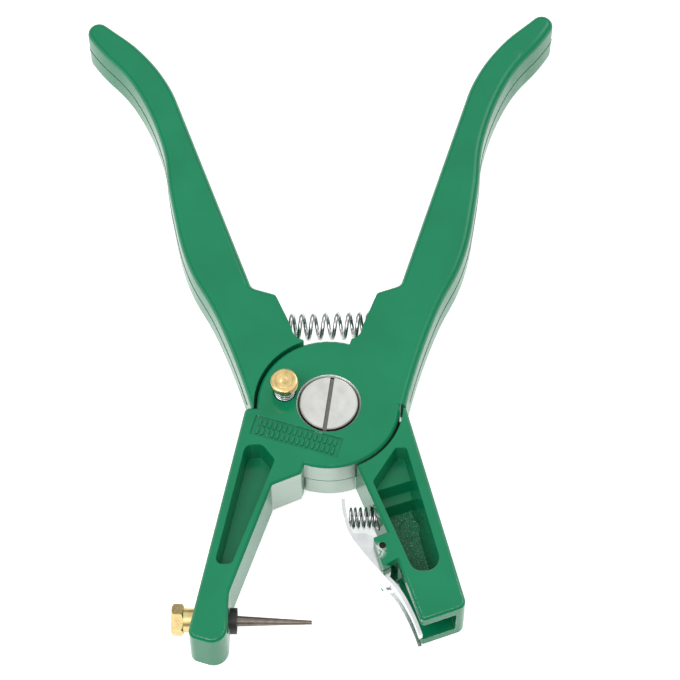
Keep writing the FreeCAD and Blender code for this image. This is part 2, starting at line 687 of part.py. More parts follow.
def tag_clip():
    low = MID_Z - CLIP_W / 2
    high = MID_Z + CLIP_W / 2
    inner_line = offset_points(CLIP_LINE, CLIP_SHEET)
    plate = slab(Part.Wire(fair_curve(CLIP_LINE) + [Part.makeLine(vec(CLIP_LINE[-1]), vec(inner_line[-1]))]
                           + fair_curve(inner_line[::-1])
                           + [Part.makeLine(vec(inner_line[0]), vec(CLIP_LINE[0]))]), low, high)
    far = [CLIP_LINE[-1], (CLIP_LINE[-1][0] + BEYOND, CLIP_LINE[-1][1]),
           (CLIP_LINE[0][0] + BEYOND, CLIP_LINE[0][1]), CLIP_LINE[0]]
    inside = slab(Part.Wire(fair_curve(CLIP_LINE)
                            + [Part.makeLine(vec(a), vec(b)) for a, b in zip(far, far[1:])]), low, high)
    flange = slab(rounded_wire(CLIP_FLANGE), low, high).common(inside)
    flange = flange.cut(Part.makeBox(2 * BEYOND, 2 * BEYOND, CLIP_W - 2 * CLIP_SHEET,
                                     Vector(-BEYOND, -2 * BEYOND, low + CLIP_SHEET)))
    clip = plate.fuse(flange)
    clip = clip.cut(drum(CLIP_PIN_R + CLIP_PIN_FIT, 0, BODY_T, CLIP_PIN_POS))
    slot_top = Vector(-BEYOND, CLIP_FORK_START, MID_Z)
    slot = Part.makeBox(2 * BEYOND, BEYOND, CLIP_FORK_GAP,
                        Vector(-BEYOND, CLIP_FORK_START - BEYOND, MID_Z - CLIP_FORK_GAP / 2))
    slot = slot.fuse(rod(CLIP_FORK_GAP / 2, slot_top, Vector(1, 0, 0), 2 * BEYOND))
    return clip.cut(slot).removeSplitter()


def clip_hinge_pin():
    recess = 0.6
    return drum(CLIP_PIN_R, recess, BODY_T - recess, CLIP_PIN_POS)


def clip_spring():
    start_x = offset_points(CLIP_LINE, CLIP_SHEET)[1][0] + 0.1
    return coil(Vector(start_x, CLIP_SPRING_Y, MID_Z), Vector(1, 0, 0), clip_spring_end() - start_x,
                CLIP_SPRING_R, CLIP_SPRING_WIRE, CLIP_SPRING_TURNS)


PARTS = {
    "needle_lever": needle_lever,
    "clip_lever": clip_lever,
    "pivot_screw": pivot_screw,
    "pivot_nut": pivot_nut,
    "handle_spring": handle_spring,
    "lock_button": lock_button,
    "lock_pin": lock_pin,
    "lock_retaining_ring": lock_retaining_ring,
    "lock_spring": lock_spring,
    "needle": needle,
    "needle_collar": needle_collar,
    "needle_nut": needle_nut,
    "tag_clip": tag_clip,
    "clip_hinge_pin": clip_hinge_pin,
    "clip_spring": clip_spring,
}

if __name__ == "__main__":
    os.makedirs("parts", exist_ok=True)
    for name, make in PARTS.items():
        shape = make()
        print(name, shape.isValid(), len(shape.Solids), round(shape.Volume, 1))
        shape.exportStep("parts/" + name + ".step")
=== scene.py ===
import math

import bmesh
import bpy
from bpy.props import FloatProperty, FloatVectorProperty, IntProperty, PointerProperty
from mathutils import Matrix, Vector


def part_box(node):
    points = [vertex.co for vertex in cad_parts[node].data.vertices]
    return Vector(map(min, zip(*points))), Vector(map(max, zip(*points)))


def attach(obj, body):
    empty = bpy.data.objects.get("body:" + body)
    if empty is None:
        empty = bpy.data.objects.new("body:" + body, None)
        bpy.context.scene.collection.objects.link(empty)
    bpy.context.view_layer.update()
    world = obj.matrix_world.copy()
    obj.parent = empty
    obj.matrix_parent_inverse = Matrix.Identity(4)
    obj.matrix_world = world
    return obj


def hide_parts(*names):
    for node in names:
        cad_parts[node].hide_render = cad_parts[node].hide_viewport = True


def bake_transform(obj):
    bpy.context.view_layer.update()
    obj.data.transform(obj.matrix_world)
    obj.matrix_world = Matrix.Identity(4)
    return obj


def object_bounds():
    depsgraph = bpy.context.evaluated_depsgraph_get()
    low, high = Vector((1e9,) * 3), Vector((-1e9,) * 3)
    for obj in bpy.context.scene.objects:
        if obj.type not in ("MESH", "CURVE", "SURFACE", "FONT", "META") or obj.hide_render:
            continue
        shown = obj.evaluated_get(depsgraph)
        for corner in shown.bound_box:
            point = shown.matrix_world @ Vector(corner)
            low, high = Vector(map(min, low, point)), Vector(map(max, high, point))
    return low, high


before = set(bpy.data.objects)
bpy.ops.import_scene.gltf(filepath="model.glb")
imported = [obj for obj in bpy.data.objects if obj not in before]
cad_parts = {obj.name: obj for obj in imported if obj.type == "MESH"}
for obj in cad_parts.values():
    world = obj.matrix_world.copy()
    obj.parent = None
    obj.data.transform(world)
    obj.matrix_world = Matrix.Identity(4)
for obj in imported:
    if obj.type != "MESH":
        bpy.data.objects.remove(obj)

bl_info = {
    "name": "Ear Tag Applicator",
    "version": (1, 0, 0),
    "blender": (4, 5, 0),
    "location": "3D View > Sidebar > Applicator",
    "description": "Dresses the ear tag applicator: enamelled castings, coil springs, needle, clip and lock button",
    "category": "Object",
}

CAD_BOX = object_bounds()
MM = 0.001

# places on the castings, in millimetres and degrees
HUB_RADIUS = 24.0
PIVOT_FRONT = 20.5
STOP_TOP = -24.9
STOP_LEFT, STOP_RIGHT = -19.6, -5.0
POCKET_FLOOR = 2.6
PANEL_X, PANEL_Y = -11.0, -12.1
PANEL_DEPTH = 0.6
PANEL_TURN = -18.2
PANEL_ROW_GAP = 3.1

# share of the enamel that is missing on machined walls
MILLED_BARE = 0.7

# camera: degrees above the table and of lean, metres away, and where it aims
CAMERA_RISE = 61.3
CAMERA_LEAN = -1.2
CAMERA_AWAY = 1.0
CAMERA_LENS = 158.03
AIM_RIGHT, AIM_UP = 3.79, 21.17


def linear(hex_colour):
    """sRGB hex to linear RGB."""
    parts = [int(hex_colour[i:i + 2], 16) / 255 for i in (1, 3, 5)]
    return tuple(c / 12.92 if c <= 0.04045 else ((c + 0.055) / 1.055) ** 2.4 for c in parts)


def length(name, description, millimetres):
    return FloatProperty(name=name, description=description, default=millimetres * MM, min=0.0,
                         unit="LENGTH", precision=5)


def colour(name, description, hex_colour):
    return FloatVectorProperty(name=name, description=description, default=linear(hex_colour), size=3,
                               subtype="COLOR", min=0.0, max=1.0)


class ApplicatorSizes(bpy.types.PropertyGroup):
    """Sizes of the dressing details"""
    handle_wire: length("Handle spring wire", "Wire thickness of the spring between the handles", 1.4)
    lock_wire: length("Lock spring wire", "Wire thickness of the spring under the button", 0.7)
    clip_wire: length("Clip spring wire", "Wire thickness of the spring behind the clip", 0.85)
    handle_turns: FloatProperty(name="Handle spring turns", description="Turns of the handle spring", default=9.5)
    lock_turns: FloatProperty(name="Lock spring turns", description="Turns of the lock spring", default=4.2)
    clip_turns: FloatProperty(name="Clip spring turns", description="Turns of the clip spring", default=6.5)
    end_closing: FloatProperty(name="Closed ends", description="How far the end turns close up, 0 to 1",
                               default=0.18, min=0.0, max=0.9)
    flash: length("Parting line", "Thickness of the casting's parting flash", 0.26)
    bar_length: length("Panel bar length", "Length of the raised bars in the panel", 2.3)
    bar_width: length("Panel bar width", "Width of the raised bars in the panel", 0.85)
    bar_height: length("Panel bar height", "Height of the raised bars in the panel", 0.6)
    bar_pitch: length("Panel bar pitch", "From one bar to the next", 1.75)
    bar_count: IntProperty(name="Panel bars", description="Bars in a row of the panel", default=16, min=1)
    soft_edge: length("Soft edge", "Shading radius of the castings' edges", 0.45)


class ApplicatorColours(bpy.types.PropertyGroup):
    """Colours of the finishes"""
    enamel: colour("Enamel", "Green enamel on the castings", "#0E875C")
    enamel_deep: colour("Enamel, deep", "Green enamel where it lies thick", "#0B7D53")
    casting: colour("Bare casting", "Aluminium where the enamel is worn off", "#CFD2CE")
    zinc: colour("Zinc", "Zinc-plated pivot screw, nut and pins", "#DCDDD8")
    spring: colour("Spring", "Bright spring wire", "#D6D7D8")
    clip: colour("Clip", "Polished zinc of the pressed clip", "#E4E8E9")
    brass: colour("Brass", "Brass button and hexagon nut", "#EDD193")
    needle: colour("Needle", "Hardened needle", "#857B71")
    rubber: colour("Collar", "Black collar", "#141516")
    floor: colour("Floor", "Floor and backdrop", "#FFFFFF")


def put(tree, kind, inputs=None, **settings):
    """Add a node, with its settings, and its inputs given as sockets to link or as values."""
    node = tree.nodes.new(kind)
    for key, value in settings.items():
        setattr(node, key, value)
    for key, value in (inputs or {}).items():
        if isinstance(value, bpy.types.NodeSocket):
            tree.links.new(value, node.inputs[key])
        else:
            node.inputs[key].default_value = value
    return node


def finish_tree(name):
    """An empty material and its node tree."""
    material = bpy.data.materials.new(name)
    material.use_nodes = True
    material.node_tree.nodes.clear()
    return material, material.node_tree


def per(millimetres):
    """Noise scale whose features are about that many millimetres wide."""
    return 1.0 / (millimetres * MM)


def rgba(rgb):
    return tuple(rgb) + (1.0,)


def ranged(tree, value, low, high, to_low=0.0, to_high=1.0, kind="LINEAR"):
    return put(tree, "ShaderNodeMapRange", {"Value": value, "From Min": low, "From Max": high,
                                            "To Min": to_low, "To Max": to_high},
               interpolation_type=kind).outputs["Result"]


def math_of(tree, operation, a, b=0.0):
    return put(tree, "ShaderNodeMath", {0: a, 1: b}, operation=operation).outputs[0]


def blended(tree, factor, a, b):
    mix = put(tree, "ShaderNodeMix", {"Factor": factor}, data_type="RGBA")
    for socket, value in ((mix.inputs[6], a), (mix.inputs[7], b)):
        if isinstance(value, bpy.types.NodeSocket):
            tree.links.new(value, socket)
        else:
            socket.default_value = rgba(value)
    return mix.outputs[2]


def within(tree, value, millimetres, slack):
    """1 where a length is that many millimetres, give or take slack."""
    matched = math_of(tree, "COMPARE", value, millimetres * MM)
    matched.node.inputs[2].default_value = slack * MM
    return matched


def near(tree, place, point, inner, outer):
    """1 within inner millimetres of a point, fading to 0 at outer."""
    away = put(tree, "ShaderNodeVectorMath", {0: place, 1: Vector(point) * MM},
               operation="DISTANCE").outputs["Value"]
    return ranged(tree, away, inner * MM, outer * MM, 1.0, 0.0, "SMOOTHSTEP")


def enamel():
    """Stoved green enamel on an aluminium casting: glossy, a little wavy, thin on edges that rub."""
    tint = bpy.context.scene.applicator_colours
    material, tree = finish_tree("green_enamel")
    place = put(tree, "ShaderNodeTexCoord").outputs["Object"]
    face = put(tree, "ShaderNodeNewGeometry").outputs["Normal"]
    apart = put(tree, "ShaderNodeSeparateXYZ", {0: place})
    upright = math_of(tree, "ABSOLUTE", put(tree, "ShaderNodeSeparateXYZ", {0: face}).outputs["Z"])

    # thick and thin enamel, 20 mm patches
    drift = put(tree, "ShaderNodeTexNoise", {"Vector": place, "Scale": per(20), "Detail": 3.0}).outputs["Fac"]
    grain = put(tree, "ShaderNodeTexNoise", {"Vector": place, "Scale": per(0.9), "Detail": 4.0}).outputs["Fac"]
    speck = put(tree, "ShaderNodeTexNoise", {"Vector": place, "Scale": per(0.45), "Detail": 5.0,
                                             "Roughness": 0.7}).outputs["Fac"]
    green = blended(tree, ranged(tree, drift, 0.3, 0.75), tint.enamel, tint.enamel_deep)

    # worn edges: the difference between the softened and the true normal
    soft = put(tree, "ShaderNodeBevel", {"Radius": bpy.context.scene.applicator_sizes.soft_edge}, samples=6)
    edge = math_of(tree, "SUBTRACT", 1.0,
                   put(tree, "ShaderNodeVectorMath", {0: soft.outputs[0], 1: face},
                       operation="DOT_PRODUCT").outputs["Value"])
    edge = ranged(tree, edge, 0.02, 0.16)
    jaw_end = near(tree, place, (34, -75, 16), 10, 20)
    jaw_tip = near(tree, place, (-39, -84, 16), 4, 12)
    ear_worn = near(tree, place, (14.8, -54.6, 20.5), 1.2, 3.6)
    rubbed = math_of(tree, "MAXIMUM", jaw_end, jaw_tip)
    rubbed = math_of(tree, "MULTIPLY", rubbed, ranged(tree, speck, 0.43, 0.53))
    edge_worn = math_of(tree, "MULTIPLY", edge, rubbed)
    ear_worn = math_of(tree, "MULTIPLY", ear_worn, ranged(tree, grain, 0.40, 0.50))
    front = math_of(tree, "GREATER_THAN", apart.outputs["Z"], 20.3 * MM)
    ear_worn = math_of(tree, "MULTIPLY", ear_worn, front)

    # machined chamfer round the pivot screw's head
    flat_away = put(tree, "ShaderNodeVectorMath",
                    {0: put(tree, "ShaderNodeCombineXYZ", {"X": apart.outputs["X"], "Y": apart.outputs["Y"]})
                     .outputs[0]}, operation="LENGTH").outputs["Value"]
    ring = math_of(tree, "LESS_THAN", flat_away, 11.4 * MM)
    ring = math_of(tree, "MULTIPLY", ring, math_of(tree, "LESS_THAN", upright, 0.95))
    ring = math_of(tree, "MULTIPLY", ring, math_of(tree, "GREATER_THAN", apart.outputs["Z"], 19.0 * MM))
    # turned rims of the hub discs and the milled stop beside them are nearly bare
    wall = math_of(tree, "LESS_THAN", upright, 0.3)
    rim = within(tree, flat_away, HUB_RADIUS, 0.25)
    stop = math_of(tree, "MULTIPLY", math_of(tree, "LESS_THAN", apart.outputs["Y"], STOP_TOP * MM),
                   math_of(tree, "GREATER_THAN", apart.outputs["X"], STOP_LEFT * MM))
    stop = math_of(tree, "MULTIPLY", stop, math_of(tree, "LESS_THAN", apart.outputs["X"], STOP_RIGHT * MM))
    milled = math_of(tree, "MULTIPLY", wall, math_of(tree, "MAXIMUM", rim, stop))
    milled = math_of(tree, "MULTIPLY", milled, MILLED_BARE)
    bare = math_of(tree, "MAXIMUM", math_of(tree, "MAXIMUM", edge_worn, ear_worn),
                   math_of(tree, "MAXIMUM", ring, milled))

    # as-cast floor of the clip jaw's pocket: sandy, with painted glints as bright grains
    floor = within(tree, apart.outputs["Z"], POCKET_FLOOR, 0.4)
    floor = math_of(tree, "MULTIPLY", floor, math_of(tree, "GREATER_THAN", apart.outputs["X"], 0.0))
    floor = math_of(tree, "MULTIPLY", floor, math_of(tree, "GREATER_THAN", upright, 0.9))
    sandy = math_of(tree, "MULTIPLY", floor, ranged(tree, speck, 0.3, 0.7))

    height = math_of(tree, "ADD", math_of(tree, "MULTIPLY", grain, 0.25), math_of(tree, "MULTIPLY", sandy, 2.5))
    bump = put(tree, "ShaderNodeBump", {"Strength": 0.35, "Distance": 0.06 * MM, "Height": height,
                                        "Normal": soft.outputs[0]})
    # painted glints: pale, non-metallic specks of the bare-casting colour on the pocket floor
    painted_glint = math_of(tree, "MULTIPLY", floor, ranged(tree, speck, 0.55, 0.63, 0.0, 0.6))
    skin = blended(tree, math_of(tree, "MAXIMUM", bare, painted_glint), green, tint.casting)
    rough = math_of(tree, "ADD", ranged(tree, drift, 0.3, 0.7, 0.13, 0.19),
                    math_of(tree, "MULTIPLY", bare, 0.2))
    shader = put(tree, "ShaderNodeBsdfPrincipled", {
        "Base Color": skin, "Metallic": bare, "Roughness": rough, "IOR": 1.36,
        "Normal": bump.outputs[0]})
    put(tree, "ShaderNodeOutputMaterial", {"Surface": shader.outputs[0]})
    return material


def metal(name, base, smooth, rough, mark=(1.0, 1.0, 1.0), width=0.6, dark=0.75, depth=0.02, stain=9.0):
    """Metal with marks about width mm wide, stretched by mark, and stains about stain mm wide."""
    material, tree = finish_tree(name)
    place = put(tree, "ShaderNodeTexCoord").outputs["Object"]
    lines = put(tree, "ShaderNodeMapping", {"Vector": place, "Scale": mark})
    marks = put(tree, "ShaderNodeTexNoise", {"Vector": lines.outputs[0], "Scale": per(width), "Detail": 4.0,
                                             "Roughness": 0.6}).outputs["Fac"]
    stains = put(tree, "ShaderNodeTexNoise", {"Vector": place, "Scale": per(stain), "Detail": 3.0}).outputs["Fac"]
    darker = tuple(c * dark for c in base)
    tone = blended(tree, ranged(tree, stains, 0.35, 0.75), base, darker)
    tone = blended(tree, ranged(tree, marks, 0.45, 0.75, 0.0, 0.35), tone, darker)
    bump = put(tree, "ShaderNodeBump", {"Strength": 0.5, "Distance": depth * MM, "Height": marks})
    shader = put(tree, "ShaderNodeBsdfPrincipled", {
        "Base Color": tone, "Metallic": 1.0, "Roughness": ranged(tree, marks, 0.3, 0.7, smooth, rough),
        "Normal": bump.outputs[0]})
    put(tree, "ShaderNodeOutputMaterial", {"Surface": shader.outputs[0]})
    return material


def slotted_zinc():
    """Zinc plate on the pivot screw: finely turned face, and a slot greyed by painted shade."""
    tint = bpy.context.scene.applicator_colours
    low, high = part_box("pivot_screw")
    material, tree = finish_tree("zinc_plated_screw")
    place = put(tree, "ShaderNodeTexCoord").outputs["Object"]
    rings = put(tree, "ShaderNodeTexWave", {"Vector": place, "Scale": 1 / (0.5 * MM) / 20, "Distortion": 1.5,
                                            "Detail": 2.0, "Detail Scale": per(2) / 100},
                wave_type="RINGS", rings_direction="Z").outputs["Fac"]
    haze = put(tree, "ShaderNodeTexNoise", {"Vector": place, "Scale": per(6), "Detail": 4.0}).outputs["Fac"]
    tone = blended(tree, ranged(tree, haze, 0.35, 0.7), tint.zinc, tuple(c * 0.82 for c in tint.zinc))
    height = put(tree, "ShaderNodeSeparateXYZ", {0: place}).outputs["Z"]
    # painted shade: the slot, below the head's top face, is blended towards dark grey
    deep = ranged(tree, height, high.z - 0.75 * MM, high.z - 0.15 * MM, 1.0, 0.0)
    tone = blended(tree, deep, tone, linear("#77766F"))
    bump = put(tree, "ShaderNodeBump", {"Strength": 0.3, "Distance": 0.02 * MM, "Height": rings})
    shader = put(tree, "ShaderNodeBsdfPrincipled", {
        "Base Color": tone, "Metallic": 1.0, "Roughness": ranged(tree, rings, 0.0, 1.0, 0.34, 0.42),
        "Normal": bump.outputs[0]})
    put(tree, "ShaderNodeOutputMaterial", {"Surface": shader.outputs[0]})
    return material


def turned_brass():
    """Brass turned on a lathe: fine rings round the button's axis, drawn 0.35 mm apart so that they show."""
    tint = bpy.context.scene.applicator_colours
    low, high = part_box("lock_button")
    centre = (low + high) / 2
    material, tree = finish_tree("turned_brass")
    place = put(tree, "ShaderNodeTexCoord").outputs["Object"]
    moved = put(tree, "ShaderNodeMapping", {"Vector": place, "Location": -centre}, vector_type="POINT")
    rings = put(tree, "ShaderNodeTexWave", {"Vector": moved.outputs[0], "Scale": 1 / (0.35 * MM) / 20,
                                            "Distortion": 0.4, "Detail": 1.0},
                wave_type="RINGS", rings_direction="Z").outputs["Fac"]
    stains = put(tree, "ShaderNodeTexNoise", {"Vector": place, "Scale": per(3), "Detail": 4.0}).outputs["Fac"]
    tone = blended(tree, ranged(tree, stains, 0.4, 0.7), tint.brass, tuple(c * 0.72 for c in tint.brass))
    bump = put(tree, "ShaderNodeBump", {"Strength": 0.6, "Distance": 0.03 * MM, "Height": rings})
    shader = put(tree, "ShaderNodeBsdfPrincipled", {
        "Base Color": tone, "Metallic": 1.0, "Roughness": ranged(tree, rings, 0.0, 1.0, 0.2, 0.34),
        "Normal": bump.outputs[0]})
    put(tree, "ShaderNodeOutputMaterial", {"Surface": shader.outputs[0]})
    return material


def moulded_collar():
    """Black moulded nylon: satin, with a fine spark-eroded grain."""
    tint = bpy.context.scene.applicator_colours
    material, tree = finish_tree("black_nylon")
    place = put(tree, "ShaderNodeTexCoord").outputs["Object"]
    grain = put(tree, "ShaderNodeTexNoise", {"Vector": place, "Scale": per(0.4), "Detail": 3.0}).outputs["Fac"]
    tone = blended(tree, ranged(tree, grain, 0.4, 0.8), tint.rubber, tuple(c + 0.015 for c in tint.rubber))
    bump = put(tree, "ShaderNodeBump", {"Strength": 0.4, "Distance": 0.03 * MM, "Height": grain})
    shader = put(tree, "ShaderNodeBsdfPrincipled", {
        "Base Color": tone, "Roughness": ranged(tree, grain, 0.3, 0.7, 0.38, 0.52), "Normal": bump.outputs[0]})
    put(tree, "ShaderNodeOutputMaterial", {"Surface": shader.outputs[0]})
    return material


FINISHES = {}


def finish_of(name):
    """The named finish, made once."""
    if name not in FINISHES:
        tint = bpy.context.scene.applicator_colours
        FINISHES[name] = {
            "enamel": enamel,
            "zinc": lambda: metal("zinc_plated_steel", tint.zinc, 0.3, 0.46, mark=(0.12, 1.0, 1.0), width=0.25,
                                  dark=0.86),
            "screw": slotted_zinc,
            "black": lambda: metal("blackened_pin", linear("#3A3633"), 0.4, 0.6, width=0.4, dark=0.5, stain=1.5),
            "seam": lambda: metal("enamelled_flash", linear("#0B4A32"), 0.3, 0.4, width=1.0, dark=0.6),
            "spring": lambda: metal("bright_spring_wire", tint.spring, 0.1, 0.22, width=1.5, dark=0.7),
            "clip": lambda: metal("polished_zinc_sheet", tint.clip, 0.12, 0.26, width=1.2, dark=0.84, stain=5.0),
            "needle": lambda: metal("hardened_steel", tint.needle, 0.28, 0.45, mark=(0.15, 1.0, 1.0), width=0.3,
                                    dark=0.55, stain=3.0),
            "brass": lambda: metal("drawn_brass", tint.brass, 0.2, 0.34, mark=(0.2, 1.0, 1.0), width=0.4,
                                   dark=0.72, stain=3.0),
            "turned_brass": turned_brass,
            "nylon": moulded_collar,
        }[name]()
    return FINISHES[name]


def new_object(name, mesh):
    piece = bpy.data.objects.new(name, mesh)
    bpy.context.scene.collection.objects.link(piece)
    return piece


def shape_tree(name, sockets):
    """Empty Geometry Nodes tree with a geometry in and out and the named inputs."""
    tree = bpy.data.node_groups.new(name, "GeometryNodeTree")
    tree.interface.new_socket("Geometry", in_out="INPUT", socket_type="NodeSocketGeometry")
    for label, kind in sockets.items():
        tree.interface.new_socket(label, in_out="INPUT", socket_type="NodeSocket" + kind)
    tree.interface.new_socket("Geometry", in_out="OUTPUT", socket_type="NodeSocketGeometry")
    return tree, put(tree, "NodeGroupInput").outputs


def close_tree(tree, shape, material=None):
    """Realize, give the material and end the tree."""
    if material is not None:
        shape = put(tree, "GeometryNodeRealizeInstances", {0: shape}).outputs[0]
        shape = put(tree, "GeometryNodeSetMaterial", {"Geometry": shape, "Material": material}).outputs[0]
    put(tree, "NodeGroupOutput", {0: shape})


def set_inputs(modifier, values):
    for item in modifier.node_group.interface.items_tree:
        if item.item_type == "SOCKET" and item.in_out == "INPUT" and item.name in values:
            modifier[item.identifier] = values[item.name]


def grown(name, tree, values, base=None):
    """A plain mesh object made by a Geometry Nodes tree."""
    piece = new_object(name, base or bpy.data.meshes.new(name))
    modifier = piece.modifiers.new(tree.name, "NODES")
    modifier.node_group = tree
    set_inputs(modifier, values)
    bpy.context.view_layer.update()
    mesh = bpy.data.meshes.new_from_object(piece.evaluated_get(bpy.context.evaluated_depsgraph_get()))
    piece.modifiers.clear()
    piece.data = mesh
    mesh.name = name
    return piece


def smoothing_tree():
    """Joins a mesh's loose triangles and shades it smooth, but for edges sharper than an angle."""
    if "smooth_but_for_edges" in bpy.data.node_groups:
        return bpy.data.node_groups["smooth_but_for_edges"]
    tree, given = shape_tree("smooth_but_for_edges", {"Sharp from": "Float", "Join within": "Float"})
    joined = put(tree, "GeometryNodeMergeByDistance", {"Geometry": given["Geometry"],
                                                       "Distance": given["Join within"]})
    angle = put(tree, "GeometryNodeInputMeshEdgeAngle")
    gentle = put(tree, "FunctionNodeCompare", {0: angle.outputs["Unsigned Angle"], 1: given["Sharp from"]},
                 data_type="FLOAT", operation="LESS_THAN")
    faces = put(tree, "GeometryNodeSetShadeSmooth", {"Geometry": joined.outputs[0], "Shade Smooth": True},
                domain="FACE")
    edges = put(tree, "GeometryNodeSetShadeSmooth", {"Geometry": faces.outputs[0],
                                                     "Shade Smooth": gentle.outputs[0]}, domain="EDGE")
    close_tree(tree, edges.outputs[0])
    return tree


def dress(node, finish, sharp=28.0):
    """Give a CAD node its finish and smooth shading."""
    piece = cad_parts[node]
    material = finish_of(finish)
    if piece.material_slots:
        for slot in piece.material_slots:
            slot.material = material
    else:
        piece.data.materials.append(material)
    modifier = piece.modifiers.new("smooth", "NODES")
    modifier.node_group = smoothing_tree()
    set_inputs(modifier, {"Sharp from": math.radians(sharp), "Join within": 0.002 * MM})
    return piece


def spring_tree():
    """Round wire wound on a circle, its end turns closed up."""
    if "wound_spring" in bpy.data.node_groups:
        return bpy.data.node_groups["wound_spring"]
    tree, given = shape_tree("wound_spring", {
        "Turns": "Float", "Radius": "Float", "Length": "Float", "Wire": "Float", "Closing": "Float",
        "Start": "Vector", "Direction": "Vector", "Material": "Material"})
    rise = put(tree, "ShaderNodeMath", {0: given["Length"], 1: given["Wire"]}, operation="SUBTRACT").outputs[0]
    spiral = put(tree, "GeometryNodeCurveSpiral", {
        "Resolution": 40, "Rotations": given["Turns"], "Start Radius": given["Radius"],
        "End Radius": given["Radius"], "Height": rise})
    along = put(tree, "GeometryNodeSplineParameter").outputs["Factor"]
    wave = math_of(tree, "SINE", math_of(tree, "MULTIPLY", along, 2 * math.pi))
    shift = math_of(tree, "MULTIPLY", math_of(tree, "MULTIPLY", wave, given["Closing"]),
                    math_of(tree, "MULTIPLY", rise, -0.5 / math.pi))
    shift = math_of(tree, "ADD", shift, math_of(tree, "MULTIPLY", given["Wire"], 0.5))
    moved = put(tree, "GeometryNodeSetPosition", {
        "Geometry": spiral.outputs[0], "Offset": put(tree, "ShaderNodeCombineXYZ", {"Z": shift}).outputs[0]})
    section = put(tree, "GeometryNodeCurvePrimitiveCircle", {
        "Resolution": 12, "Radius": math_of(tree, "MULTIPLY", given["Wire"], 0.5)})
    wire = put(tree, "GeometryNodeCurveToMesh", {"Curve": moved.outputs[0], "Profile Curve": section.outputs[0],
                                                 "Fill Caps": True})
    turn = put(tree, "FunctionNodeAlignRotationToVector", {"Vector": given["Direction"]}, axis="Z")
    placed = put(tree, "GeometryNodeTransform", {"Geometry": wire.outputs[0], "Translation": given["Start"],
                                                 "Rotation": turn.outputs[0]})
    smooth = put(tree, "GeometryNodeSetShadeSmooth", {"Geometry": placed.outputs[0], "Shade Smooth": True})
    close_tree(tree, smooth.outputs[0], given["Material"])
    return tree


def wound(node, wire, turns, direction):
    """A spring in the place of its CAD node, along one axis."""
    low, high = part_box(node)
    axis = Vector(direction)
    middle = (low + high) / 2
    across = sorted(high[i] - low[i] for i in range(3) if not axis[i])[-1]
    run = abs((high - low).dot(axis))
    spring = grown("wound_" + node, spring_tree(), {
        "Turns": turns, "Radius": (across - wire) / 2, "Length": run, "Wire": wire,
        "Closing": bpy.context.scene.applicator_sizes.end_closing, "Start": middle - axis * (run / 2),
        "Direction": axis, "Material": finish_of("spring")})
    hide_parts(node)
    return spring


def turned(name, profile, centre, finish, segments=96):
    """A solid of revolution about the vertical through centre, from (radius, height) in metres."""
    shape = bmesh.new()
    rings = []
    for radius, height in profile:
        if radius < 1e-9:
            rings.append([shape.verts.new((centre[0], centre[1], height))])
            continue
        rings.append([shape.verts.new((centre[0] + radius * math.cos(2 * math.pi * k / segments),
                                       centre[1] + radius * math.sin(2 * math.pi * k / segments), height))
                      for k in range(segments)])
    for inner, outer in zip(rings, rings[1:]):
        for k in range(segments):
            far = (k + 1) % segments
            corners = [inner[k % len(inner)], outer[k % len(outer)], outer[far % len(outer)],
                       inner[far % len(inner)]]
            shape.faces.new(list(dict.fromkeys(corners)))
    bmesh.ops.recalc_face_normals(shape, faces=shape.faces)
    mesh = bpy.data.meshes.new(name)
    shape.to_mesh(mesh)
    shape.free()
    mesh.shade_smooth()
    mesh.set_sharp_from_angle(angle=math.radians(35))
    mesh.materials.append(finish_of(finish))
    return new_object(name, mesh)


def parting_path(node, clear):
    """Edges where a casting's outline crosses its middle plane, outside the hub."""
    low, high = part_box(node)
    cut = bmesh.new()
    cut.from_mesh(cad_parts[node].data)
    bmesh.ops.remove_doubles(cut, verts=cut.verts, dist=0.002 * MM)
    found = bmesh.ops.bisect_plane(cut, geom=cut.verts[:] + cut.edges[:] + cut.faces[:], dist=1e-7,
                                   plane_co=(0, 0, (low.z + high.z) / 2), plane_no=(0, 0, 1))
    edges = {g for g in found["geom_cut"] if isinstance(g, bmesh.types.BMEdge)}
    best = []
    while edges:
        loop, stack = [], [edges.pop()]
        while stack:
            edge = stack.pop()
            loop.append(edge)
            for vert in edge.verts:
                for other in vert.link_edges:
                    if other in edges:
                        edges.remove(other)
                        stack.append(other)
        if sum(e.calc_length() for e in loop) > sum(e.calc_length() for e in best):
            best = loop
    mesh = bpy.data.meshes.new("parting_path")
    places, pairs = {}, []
    for edge in best:
        if all(math.hypot(v.co.x, v.co.y) > clear for v in edge.verts):
            pairs.append([places.setdefault(v, len(places)) for v in edge.verts])
    mesh.from_pydata([v.co.copy() for v in places], pairs, [])
    cut.free()
    return mesh


def flash_tree():
    """A thin bead along edges."""
    if "parting_flash" in bpy.data.node_groups:
        return bpy.data.node_groups["parting_flash"]
    tree, given = shape_tree("parting_flash", {"Thickness": "Float", "Material": "Material"})
    path = put(tree, "GeometryNodeMeshToCurve", {0: given["Geometry"]})
    section = put(tree, "GeometryNodeCurvePrimitiveCircle", {
        "Resolution": 6, "Radius": math_of(tree, "MULTIPLY", given["Thickness"], 0.5)})
    bead = put(tree, "GeometryNodeCurveToMesh", {"Curve": path.outputs[0], "Profile Curve": section.outputs[0],
                                                 "Fill Caps": True})
    close_tree(tree, bead.outputs[0], given["Material"])
    return tree


